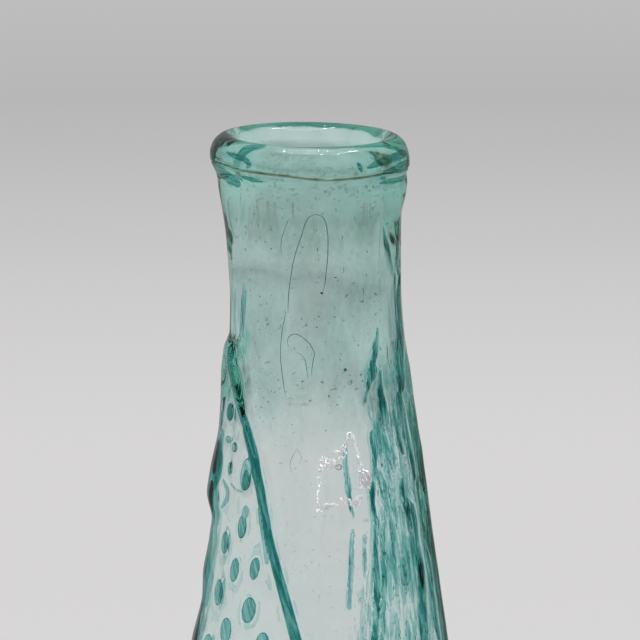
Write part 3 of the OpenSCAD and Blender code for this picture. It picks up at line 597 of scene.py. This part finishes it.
# from the bore's foot to the inside: two columns to one
p = 1 + (n_outer - 1) * N
q = 1 + n_outer * N
for i in range(NI):
    a0, a1, a2 = p + 2 * i, p + (2 * i + 1) % N, p + (2 * i + 2) % N
    b0, b1 = q + i, q + (i + 1) % NI
    if 2 * i + 1 >= N:
        tri.append([a0, p, b1]); tri.append([a0, b1, b0])
    else:
        tri.append([a0, a1, b0]); tri.append([a1, b1, b0]); tri.append([a1, a2, b1])
for k in range(len(inner_rings) - 1):
    quad.append(quads(q + k * NI, q + (k + 1) * NI, NI))
last = q + (len(inner_rings) - 1) * NI
pole = last + NI
tri += [[last + i, last + (i + 1) % NI, pole] for i in range(NI)]
total = pole + 1


# ---------------------------------------------------------------- voids in the glass
def outer_point(a, z, depth):
    """Point in the glass, depth under the plain outer surface."""
    r = float(panel_r(np.array(float(z)))) - depth
    return np.array([float(bend_x(np.array(float(z)))) + r * math.sin(math.radians(a)),
                     -r * math.cos(math.radians(a)), z])


def add_shell(points, tris, tint_v, dirt_v):
    """A closed shell whose faces look into the void."""
    global total
    n = len(points)
    verts.append(points)
    all_fields.append(plain(n, wash=np.full(n, tint_v), dirt=np.full(n, dirt_v), grain=np.zeros(n)))
    for t in tris:
        tri.append([total + t[0], total + t[1], total + t[2]])
    total += len(points)


def seed_shell(a, z, depth, w, h, d=None, tint_v=0.0, dirt_v=0.0, rows=6, cols=10):
    """Ellipsoid bubble: half width, half height and half depth in mm."""
    c = outer_point(a, z, depth)
    d = w * (0.3 if w > 0.15 else 0.8) if d is None else d
    ra = math.radians(a)
    e_s = np.array([math.cos(ra), math.sin(ra), 0.0])
    e_r = np.array([math.sin(ra), -math.cos(ra), 0.0])
    e_z = np.array([0, 0, 1.0])
    pts = [c + e_z * h]
    for i in range(1, rows):
        t = math.pi * i / rows
        for j in range(cols):
            u = 2 * math.pi * j / cols
            pts.append(c + e_z * h * math.cos(t) + math.sin(t) * (e_s * w * math.cos(u) + e_r * d * math.sin(u)))
    pts.append(c - e_z * h)
    out = []
    for j in range(cols):
        k = (j + 1) % cols
        out.append((0, 1 + k, 1 + j))
        for i in range(rows - 2):
            p0, q0 = 1 + i * cols, 1 + (i + 1) * cols
            out.append((p0 + j, p0 + k, q0 + k)); out.append((p0 + j, q0 + k, q0 + j))
        out.append((1 + (rows - 2) * cols + j, 1 + (rows - 2) * cols + k, len(pts) - 1))
    pts = np.array(pts)
    # make every face look inward
    fixed = []
    for t in out:
        n = np.cross(pts[t[1]] - pts[t[0]], pts[t[2]] - pts[t[0]])
        m = (pts[t[0]] + pts[t[1]] + pts[t[2]]) / 3 - c
        fixed.append(t if n @ m < 0 else (t[0], t[2], t[1]))
    add_shell(pts, fixed, tint_v, dirt_v)


def thread(points, depth, radius, tint_v=0.0, dirt_v=0.0, sides=6, step=0.45):
    """Thin tube of air along a line of (angle, height) in the glass."""
    mid = float(np.mean([p[1] for p in points]))
    k = math.radians(1) * float(panel_r(np.array(mid)))
    line = smooth_line([(p[0] * k, p[1]) for p in points], step)
    c = np.array([outer_point(s / k, z, depth) for s, z in line])
    t = np.gradient(c, axis=0)
    t /= np.linalg.norm(t, axis=1)[:, None]
    m = len(c)
    pts, out = [c[0]], []
    for i in range(m):
        rad = np.array([c[i][0] - float(bend_x(np.array(c[i][2]))), c[i][1], 0.0])
        rad /= np.linalg.norm(rad)
        e1 = np.cross(t[i], rad)
        e1 /= np.linalg.norm(e1)
        e2 = np.cross(t[i], e1)
        w = radius * min(1.0, 0.35 + 0.65 * min(i, m - 1 - i) / 4.0)
        for j in range(sides):
            u = 2 * math.pi * j / sides
            pts.append(c[i] + w * (e1 * math.cos(u) + e2 * math.sin(u)))
    pts.append(c[-1])
    pts = np.array(pts)
    for j in range(sides):
        jj = (j + 1) % sides
        out.append((0, 1 + jj, 1 + j))
        for i in range(m - 1):
            p0, q0 = 1 + i * sides, 1 + (i + 1) * sides
            out.append((p0 + j, p0 + jj, q0 + jj)); out.append((p0 + j, q0 + jj, q0 + j))
        out.append((1 + (m - 1) * sides + j, 1 + (m - 1) * sides + jj, len(pts) - 1))
    # the first tube face tells which way they look
    i = m // 2
    f = (1 + i * sides, 1 + i * sides + 1, 1 + (i + 1) * sides + 1)
    n = np.cross(pts[f[1]] - pts[f[0]], pts[f[2]] - pts[f[0]])
    outward = (pts[f[0]] + pts[f[1]] + pts[f[2]]) / 3 - (c[i] + c[i + 1]) / 2
    if n @ outward > 0:
        out = [(p0, r0, q0) for p0, q0, r0 in out]
    add_shell(pts, out, tint_v, dirt_v)


THREADS = [
    # the big drawn-out blister
    ([(-18.9, 111.5), (-18.8, 112.5), (-17.8, 114.1), (-16.1, 115.7), (-14.1, 117.3), (-11.2, 118.8),
      (-7.7, 120.3), (-5.7, 121.3), (-2.9, 122.2), (2.0, 122.6), (6.2, 122.3), (8.1, 121.5),
      (9.1, 120.1), (9.0, 118.8), (8.4, 117.3), (7.4, 116.0), (6.6, 114.9), (5.3, 113.9)], 0.8, 0.065, 0.45, 0.1),
    ([(-13.7, 121.3), (-15.0, 122.1), (-18.5, 120.9), (-21.2, 119.8), (-22.4, 118.8), (-22.0, 117.7)], 0.8, 0.05, 0.4, 0),
    ([(-59.8, 123.8), (-66.3, 123.1), (-67.5, 122.1), (-68.3, 121.1), (-67.4, 120.3), (-64.8, 119.4),
      (-61.9, 119.1), (-57.5, 119.5)], 0.7, 0.07, 0.5, 0),
    ([(-20.7, 111.7), (-21.4, 110.8), (-22.6, 110.0), (-23.9, 108.4), (-24.3, 106.8), (-23.3, 105.2),
      (-22.1, 103.8), (-21.1, 102.7), (-20.0, 101.9)], 0.7, 0.05, 0.4, 0.2),
    ([(-18.6, 107.7), (-19.3, 108.4), (-18.1, 108.9), (-14.9, 109.2), (-11.2, 109.1), (-7.5, 108.7),
      (-4.2, 108.2), (-1.4, 107.4), (-0.5, 107.0), (-1.4, 106.6), (-2.3, 105.6), (-3.2, 104.6)], 0.7, 0.05, 0.35, 0.2),
    ([(-13.0, 107.2), (-9.3, 106.9), (-6.8, 106.2), (-5.8, 105.1), (-5.0, 104.2)], 0.7, 0.045, 0.3, 0.2),
    ([(-60.0, 112.6), (-59.5, 111.1), (-58.4, 110.1), (-60.0, 109.2), (-63.1, 108.1), (-69.8, 107.0)], 0.6, 0.07, 0.5, 0),
    ([(-13.4, 96.6), (-16.6, 95.6), (-17.8, 94.8), (-16.9, 94.0)], 0.3, 0.045, 0.3, 0),
    ([(-13.4, 96.6), (-10.6, 95.7), (-12.2, 94.9)], 0.3, 0.04, 0.2, 0),
    ([(49, 121.2), (48.4, 118.5), (47.6, 115.2)], 0.6, 0.04, 0.2, 0),
]
for pts_, depth_, rad_, tint_, dirt_ in THREADS:
    thread(pts_, min(depth_, 0.42), rad_ * 0.8, tint_ * 0.5, dirt_)
# angle, height, depth, half width, half height, tint, dirt
SEEDS = [(17.6, 119.9, .8, .26, .26, 0, 0), (18.4, 116.3, .8, .24, .3, 0, 0), (13.7, 115.5, .7, .2, .08, .4, .2),
         (37.0, 118.1, .8, .14, .14, .6, .2), (36.4, 115.5, .8, .14, .12, .5, .2), (33.7, 113.7, .8, .22, .42, .1, 0),
         (21.8, 113.5, .8, .12, .1, .5, .2), (48.5, 114.7, .8, .1, .16, .4, 0), (20.0, 105.2, .7, .2, .2, .8, .2),
         (23.3, 103.8, .7, .24, .28, .1, 0), (12.2, 94.6, .3, .42, .34, 0, 0), (-15.8, 114.3, .8, .1, .12, .5, .8),
         (4.4, 113.8, .5, .17, .14, .4, .9), (2.2, 111.2, .5, .1, .16, .3, .9), (-0.5, 110.9, .5, .08, .08, .3, .9),
         (0.9, 110.0, .5, .12, .12, .4, .9), (-8.9, 104.0, .5, .15, .13, .4, 1), (-9.1, 103.2, .5, .09, .08, .3, .9),
         (-17.8, 102.1, .5, .08, .08, .3, .9), (-49.3, 113.6, .6, .12, .1, .6, .2), (-54.4, 113.3, .6, .12, .1, .6, .2),
         (-47.2, 115.9, .6, .1, .1, .3, 0), (-9.3, 118.3, .7, .08, .08, .3, .2), (2.1, 120.8, .7, .1, .1, .3, .2),
         (8.5, 125.1, .8, .12, .12, .3, 0), (38, 124.9, .8, .14, .14, .3, .2), (5.1, 98.6, .5, .1, .1, .4, .3),
         (13.5, 101.4, .5, .12, .12, .5, .2), (24.5, 101.8, .5, .08, .08, .4, .2), (-16.6, 99.2, .4, .1, .1, .5, .2),
         (-38.9, 104.7, .6, .1, .08, .2, 0), (-40.0, 102.8, .6, .1, .08, .2, 0), (-30.8, 102.7, .6, .1, .1, .3, 0),
         (-36, 103.6, .6, .08, .08, .2, 0), (-34, 104.4, .6, .08, .08, .2, 0), (-37, 101.9, .6, .08, .08, .2, 0),
         (48, 112.3, .6, .1, .16, .3, 0), (50, 111.3, .6, .1, .16, .3, 0), (26, 111, .8, .1, .1, .3, 0),
         (10, 103, .7, .08, .08, .3, 0), (-28, 96.8, .3, .07, .07, .4, .2), (-22, 91, .25, .07, .1, .3, 0),
         (3, 92.6, .25, .07, .07, .3, 0), (120, 112, .8, .2, .3, 0, 0), (150, 117, .8, .16, .2, 0, 0),
         (-150, 108, .8, .15, .25, 0, 0), (-120, 118, .8, .2, .2, 0, 0), (-165, 100, .6, .12, .2, 0, 0)]
for s_ in SEEDS:
    big = s_[3] > 0.15
    k_ = 0.95 if big else 0.68
    seed_shell(s_[0], s_[1], min(s_[2], 0.4), s_[3] * k_, s_[4] * k_, tint_v=s_[5] * 0.5, dirt_v=s_[6] * 0.45,
               rows=8 if big else 5, cols=14 if big else 8)

# painted glints in the band: tiny eight-sided white flecks, half sunk in the surface, stand in for lamp light
# glittering on its pits
pick = np.random.default_rng(11)
FA, FZ = pick.uniform(-4, 32, 14000), pick.uniform(88.8, 99, 14000)
o_1, _, v_1 = along(FA, FZ, BAND)
keep = (o_1 < 0.05) & (pick.uniform(size=14000) < v_1 ** 2) & (noise(np.stack([FA * 0.19, FA * 0, FZ], 1), 0.7, 91) > -0.35)
FA, FZ = FA[keep][:1250], FZ[keep][:1250]
n_fleck = len(FA)
FR = panel_r(FZ) + np.array([radius[np.argmin(np.abs(body_z - z)), np.argmin(np.abs(COLS - a))]
                             - base_r[np.argmin(np.abs(body_z - z)), 0] for a, z in zip(FA, FZ)])
FX = bend_x(FZ)
for fa, fz, fr, fx in zip(np.radians(FA), FZ, FR, FX):
    c_ = np.array([fx + fr * math.sin(fa), -fr * math.cos(fa), fz])
    w_1 = float(pick.uniform(0.04, 0.095))
    h_1 = w_1 * float(pick.uniform(0.7, 1.3))
    e_s, e_r, e_z = np.array([math.cos(fa), math.sin(fa), 0]), np.array([math.sin(fa), -math.cos(fa), 0]), np.array([0, 0, 1.0])
    turn = float(pick.uniform(-0.35, 0.35))
    e_1, e_2 = e_s * math.cos(turn) + e_z * math.sin(turn), e_z * math.cos(turn) - e_s * math.sin(turn)
    lip_1 = 2 * h_1 * math.tan(math.radians(float(pick.uniform(36, 57)))) - 0.02
    verts.append(np.array([c_ - e_1 * w_1 + e_2 * h_1 - e_r * 0.02, c_ + e_1 * w_1 + e_2 * h_1 - e_r * 0.02,
                           c_ - e_2 * h_1 + e_r * lip_1, c_ - e_2 * h_1 - e_r * 0.04]))
    all_fields.append(plain(4))
    tri += [[total, total + 2, total + 1], [total, total + 3, total + 2], [total + 1, total + 2, total + 3],
            [total, total + 1, total + 3]]
    total += 4

V = np.vstack(verts) * 0.001
quad = np.vstack(quad)
tri = np.array(tri, dtype=np.int64)
me = bpy.data.meshes.new("cologne_bottle")
n_tri, n_quad = len(tri), len(quad)
me.vertices.add(len(V))
me.vertices.foreach_set("co", V.astype(np.float32).ravel())
me.loops.add(n_tri * 3 + n_quad * 4)
me.loops.foreach_set("vertex_index", np.concatenate([tri.ravel(), quad.ravel()]).astype(np.int32))
me.polygons.add(n_tri + n_quad)
me.polygons.foreach_set("loop_start", np.concatenate([np.arange(n_tri) * 3, n_tri * 3 + np.arange(n_quad) * 4]).astype(np.int32))
in_glass = np.ones(n_tri + n_quad, bool)
in_glass[n_tri - 4 * n_fleck:n_tri] = False
me.polygons.foreach_set("use_smooth", in_glass)
me.polygons.foreach_set("material_index", np.where(in_glass, 0, 1).astype(np.int32))
me.update(calc_edges=True)
me.validate()
for name in FIELDS[:-2]:
    at = me.attributes.new(name, "FLOAT", "POINT")
    at.data.foreach_set("value", np.clip(np.concatenate([f[name] for f in all_fields]), 0, 1).astype(np.float32))
at = me.attributes.new("flow", "FLOAT_VECTOR", "POINT")
uv = np.stack([np.concatenate([f["flow_u"] for f in all_fields]), np.concatenate([f["flow_v"] for f in all_fields]),
               np.zeros(len(V))], 1)
at.data.foreach_set("vector", uv.astype(np.float32).ravel())
bottle = bpy.data.objects.new("cologne_bottle", me)
scene.collection.objects.link(bottle)
print("bottle mesh:", n_tri + 2 * n_quad, "triangles,", len(V), "vertices, rings", n_outer, len(inner_rings))


# ---------------------------------------------------------------- glass
def nodes_of(mat):
    mat.use_nodes = True
    nt = mat.node_tree
    nt.nodes.clear()
    return nt, nt.nodes, nt.links


glass = bpy.data.materials.new("aqua_glass")
nt, nn, ln = nodes_of(glass)
out = nn.new("ShaderNodeOutputMaterial")
bs = nn.new("ShaderNodeBsdfPrincipled")
bs.inputs["Transmission Weight"].default_value = 1.0
bs.inputs["IOR"].default_value = 1.5
ln.new(bs.outputs[0], out.inputs["Surface"])
va = nn.new("ShaderNodeVolumeAbsorption")
va.inputs["Color"].default_value = (0.10, 0.757, 0.638, 1)
va.inputs["Density"].default_value = 122
ln.new(va.outputs[0], out.inputs["Volume"])


def attr(name):
    a = nn.new("ShaderNodeAttribute")
    a.attribute_name = name
    return a.outputs["Fac"]


def mixrgb(fac, a, b):
    m = nn.new("ShaderNodeMix")
    m.data_type = "RGBA"
    ln.new(fac, m.inputs[0])
    for sock, val in ((m.inputs[6], a), (m.inputs[7], b)):
        if hasattr(val, "links"):
            ln.new(val, sock)
        else:
            sock.default_value = val
    return m.outputs[2]


def math_node(op, a, b=None, clamp=False):
    m = nn.new("ShaderNodeMath")
    m.operation = op
    m.use_clamp = clamp
    for sock, val in zip(m.inputs, (a, b)):
        if val is None:
            continue
        if hasattr(val, "links"):
            ln.new(val, sock)
        else:
            sock.default_value = val
    return m.outputs[0]


tc = nn.new("ShaderNodeTexCoord")


def tex_noise(scale, detail=3.0, rough=0.55, stretch=(1, 1, 1), vector=None):
    mp = nn.new("ShaderNodeMapping")
    mp.inputs["Scale"].default_value = stretch
    ln.new(vector if vector is not None else tc.outputs["Object"], mp.inputs["Vector"])
    t = nn.new("ShaderNodeTexNoise")
    t.inputs["Scale"].default_value = scale
    t.inputs["Detail"].default_value = detail
    t.inputs["Roughness"].default_value = rough
    ln.new(mp.outputs[0], t.inputs["Vector"])
    return t.outputs["Fac"]


def step(v, a, b, c=0.0, d=1.0):
    m = nn.new("ShaderNodeMapRange")
    m.interpolation_type = "SMOOTHSTEP"
    ln.new(v, m.inputs[0])
    for s_, val in zip(m.inputs[1:5], (a, b, c, d)):
        s_.default_value = val
    return m.outputs[0]


def add(*vs):
    r = vs[0]
    for v in vs[1:]:
        r = math_node("ADD", r, v)
    return r


def mul(*vs):
    r = vs[0]
    for v in vs[1:]:
        r = math_node("MULTIPLY", r, v)
    return r


flow_at = nn.new("ShaderNodeAttribute")
flow_at.attribute_name = "flow"
flow = flow_at.outputs["Vector"]
leaf_v = attr("leaf")
fray_v = attr("fray")
# ragged, softer edges of the strokes where the glass is frayed
wander = add(mul(math_node("SUBTRACT", tex_noise(1.0, 3.0, 0.6, (1.9, 0.8, 1), flow), 0.5), 0.7),
             mul(math_node("SUBTRACT", tex_noise(1.0, 2.0, 0.6, (6.5, 2.6, 1), flow), 0.5), 0.5))
edge_v = add(attr("edge"), mul(wander, add(mul(fray_v, 0.5), 0.03)))
soft_w = add(mul(fray_v, 0.09), 0.06)
inside = math_node("ADD", math_node("DIVIDE", math_node("SUBTRACT", edge_v, 0.5), soft_w), 0.5, True)
rim = math_node("SUBTRACT", 1.0, step(math_node("ABSOLUTE", math_node("SUBTRACT", edge_v, 0.51)), 0.0, 0.085))
long_s = tex_noise(1.0, 1.4, 0.5, (3.0, 0.3, 1), flow)
fine_s = tex_noise(1.0, 3.0, 0.65, (7.5, 1.5, 1), flow)
calm = step(long_s, 0.32, 0.68, 0.62, 1.25)
rough_s = mul(step(long_s, 0.38, 0.62, 0.4, 1.35), step(fine_s, 0.35, 0.65, 0.85, 1.15))
streaks = add(mul(calm, math_node("SUBTRACT", 1.0, fray_v)), mul(rough_s, fray_v))
# dark outline, broken where the glass is frayed
broken = add(mul(fray_v, step(fine_s, 0.5, 0.6), 3.2), 1.0)
tint_v = add(mul(inside, attr("fill"), streaks), mul(rim, attr("line"), broken))
# pale streaks and fine contour lines of the right leaf
pale = add(mul(step(tex_noise(1.0, 1.2, 0.5, (1.4, 0.2, 1), flow), 0.52, 0.58), 0.17),
           mul(step(tex_noise(1.0, 1.2, 0.5, (0.7, 0.15, 1.7), flow), 0.54, 0.58), 0.13))
fine = tex_noise(1.0, 2.0, 0.6, (0.95, 0.24, 2.3), flow)
fine = math_node("SUBTRACT", 1.0, step(math_node("ABSOLUTE", math_node("SUBTRACT", fine, 0.5)), 0.0, 0.016))
tint_v = add(tint_v, mul(leaf_v, add(pale, mul(fine, step(fine_s, 0.45, 0.6), 0.9))))

# thick glass is darker and bluer, dirt is brown; both take light away by their depth. The dirt and haze fields also
# carry painted shade
dirt_v = attr("dirt")
mix_c = nn.new("ShaderNodeCombineColor")
wash_v = attr("wash")
# grey haze and painted shade in upright streaks, and tiny dots
haze_v = mul(attr("haze"), step(tex_noise(1.0, 4.0, 0.65, (1.5, 0.7, 1), flow), 0.3, 0.7, 0.5, 1.5))
dots_v = mul(step(tex_noise(2100, 0.0, 0.5), 0.76, 0.84), add(mul(haze_v, 6.0), 0.03))
grey_v = add(haze_v, dots_v)
band_v = attr("band")
for i, (kt, kw, kd, kh) in enumerate(((7.4, 7.4, 3.4, 3.1), (2.9, 2.0, 3.9, 3.0), (3.04, 2.9, 4.8, 2.9))):
    total_k = add(mul(tint_v, -kt), mul(wash_v, -kw), mul(dirt_v, -kd), mul(grey_v, -kh))
    ln.new(math_node("EXPONENT", total_k), mix_c.inputs[i])
ln.new(mix_c.outputs[0], bs.inputs["Base Color"])
rough = math_node("MULTIPLY", attr("dirt"), 0.35)
ln.new(rough, bs.inputs["Roughness"])
bump_h = add(mul(tex_noise(3600, 2.0, 0.5), attr("grain")), mul(tex_noise(5200, 1.0, 0.5), band_v, 0.6))
bump = nn.new("ShaderNodeBump")
bump.inputs["Strength"].default_value = 1.0
bump.inputs["Distance"].default_value = 0.00007
ln.new(bump_h, bump.inputs["Height"])
ln.new(bump.outputs[0], bs.inputs["Normal"])
me.materials.append(glass)
# painted glints: white, half-metal flecks that show as bright specks in the band
fleck = bpy.data.materials.new("painted_glint_flecks")
fleck.use_nodes = True
fb = fleck.node_tree.nodes["Principled BSDF"]
fb.inputs["Base Color"].default_value = (1, 1, 1, 1)
fb.inputs["Roughness"].default_value = 0.3
fb.inputs["Metallic"].default_value = 0.5
me.materials.append(fleck)

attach(bottle, "root")
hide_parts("bottle")

# ---------------------------------------------------------------- floor
fm = bpy.data.materials.new("floor_painted_light_falloff")
nt, nn, ln = nodes_of(fm)
out = nn.new("ShaderNodeOutputMaterial")
bs = nn.new("ShaderNodeBsdfPrincipled")
bs.inputs["Roughness"].default_value = 0.9
bs.inputs["Specular IOR Level"].default_value = 0.0
ln.new(bs.outputs[0], out.inputs["Surface"])
tc = nn.new("ShaderNodeTexCoord")
length = nn.new("ShaderNodeVectorMath")
length.operation = "LENGTH"
ln.new(tc.outputs["Object"], length.inputs[0])
# painted pool of light: the floor's colour is lightest round the bottle, darkens outward to about 0.9 m, then lightens
# a little far away
ramp = nn.new("ShaderNodeValToRGB")
dist = math_node("DIVIDE", length.outputs["Value"], 2.0)
ln.new(dist, ramp.inputs[0])
els = ramp.color_ramp.elements
light_falloff_stops = [(0.0, 0.72), (0.36, 0.694), (0.47, 0.69), (0.55, 0.659), (0.63, 0.624), (0.72, 0.578), (0.82, 0.532),
         (0.93, 0.491), (1.15, 0.53), (1.6, 0.6)]
LIGHT = 0.87
while len(els) < len(light_falloff_stops):
    els.new(0.5)
for e, (s_, v_) in zip(els, light_falloff_stops):
    e.position = s_ / 2.0
    v_ = v_ / LIGHT
    e.color = (v_ * 1.006, v_ * 0.994, v_ * 1.0, 1)
ln.new(ramp.outputs[0], bs.inputs["Base Color"])
bpy.ops.mesh.primitive_plane_add(size=13, location=(0, 0, 0))
floor = bpy.context.object
floor.name = "floor"
floor.data.materials.append(fm)
floor.visible_glossy = False

# ---------------------------------------------------------------- world
world = bpy.data.worlds.new("studio")
scene.world = world
world.use_nodes = True
nt = world.node_tree
nn, ln = nt.nodes, nt.links
nn.clear()
wout = nn.new("ShaderNodeOutputWorld")
bg = nn.new("ShaderNodeBackground")
ln.new(bg.outputs[0], wout.inputs[0])
tc = nn.new("ShaderNodeTexCoord")
sep = nn.new("ShaderNodeSeparateXYZ")
ln.new(tc.outputs["Generated"], sep.inputs[0])


def map_range(v, a, b, c, d):
    m = nn.new("ShaderNodeMapRange")
    m.interpolation_type = "SMOOTHSTEP"
    ln.new(v, m.inputs[0])
    for s_, val in zip(m.inputs[1:5], (a, b, c, d)):
        s_.default_value = val
    return m.outputs[0]


back_v = map_range(sep.outputs["Y"], -0.75, 0.25, 0.2, 1.0)
top_v = map_range(sep.outputs["Z"], 0.45, 0.9, 0.0, 1.0)
side_v = map_range(sep.outputs["X"], -0.7, 0.9, 1.0, 0.8)
rise_v = map_range(sep.outputs["Z"], -0.02, 0.5, 0.622, 0.74)
lit = math_node("MAXIMUM", back_v, math_node("MULTIPLY", top_v, 0.7))
level = math_node("MULTIPLY", math_node("MULTIPLY", lit, side_v), rise_v)
level = math_node("ADD", level, 0.03)
lp = nn.new("ShaderNodeLightPath")
level = math_node("MULTIPLY", level, math_node("SUBTRACT", 1.0, math_node("MULTIPLY", lp.outputs["Is Reflection Ray"], 0.55)))
seen = math_node("MAXIMUM", lp.outputs["Is Diffuse Ray"], lp.outputs["Is Camera Ray"])
mx = nn.new("ShaderNodeMix")
mx.data_type = "FLOAT"
ln.new(seen, mx.inputs[0])
ln.new(level, mx.inputs[2])
mx.inputs[3].default_value = LIGHT
ln.new(mx.outputs[0], bg.inputs["Strength"])
bg.inputs["Color"].default_value = (1, 0.995, 0.995, 1)


# ---------------------------------------------------------------- small lamps
def lamps(name, quads_, power):
    """Lit oblongs (centre, half side, half side); only gloss shows them."""
    pts, fs = [], []
    for c, u, v in quads_:
        c, u, v = (np.array(t, float) for t in (c, u, v))
        k = len(pts)
        pts += [tuple(0.001 * (c + u * x + v * y)) for x, y in ((-1, -1), (1, -1), (1, 1), (-1, 1))]
        fs.append((k, k + 1, k + 2, k + 3))
    m = bpy.data.meshes.new(name)
    m.from_pydata(pts, [], fs)
    ob = bpy.data.objects.new(name, m)
    scene.collection.objects.link(ob)
    mat = bpy.data.materials.new(name)
    mat.use_nodes = True
    mat.node_tree.nodes.clear()
    o = mat.node_tree.nodes.new("ShaderNodeOutputMaterial")
    e = mat.node_tree.nodes.new("ShaderNodeEmission")
    e.inputs["Strength"].default_value = power
    mat.node_tree.links.new(e.outputs[0], o.inputs["Surface"])
    m.materials.append(mat)
    ob.visible_camera = False
    ob.visible_diffuse = False
    ob.visible_shadow = False
    ob.visible_transmission = False
    return ob


def row(a, b, n):
    return [np.array(a, float) + (np.array(b, float) - np.array(a, float)) * i / (n - 1) for i in range(n)]


H = 830
dots = [(c, (5, 0, 0), (0, 16, 0)) for c in row((-190, 150, H), (190, 150, H), 13)]
dots += [(c, (5, 0, 0), (0, 22, 0)) for c in row((-170, -250, H), (290, -250, H), 18)]
dots += [(c, (5, 0, 0), (0, 7, 0)) for c in row((-200, 140, H), (-180, -240, H), 30)]
dots += [(c, (7, 0, 0), (0, 9, 0)) for c in row((420, 120, H), (300, -240, H), 22) + row((230, 160, H), (400, 150, H), 7)]
lamps("top_lamps", dots, 45)

# ---------------------------------------------------------------- render look
scene.view_settings.view_transform = "Standard"
scene.view_settings.look = "None"
c = scene.cycles
c.max_bounces = 40
c.transmission_bounces = 40
c.glossy_bounces = 16
c.diffuse_bounces = 2
c.volume_bounces = 0
c.transparent_max_bounces = 16
c.caustics_reflective = False
c.caustics_refractive = True
c.sample_clamp_indirect = 45
c.use_denoising = True

bpy.context.view_layer.update()
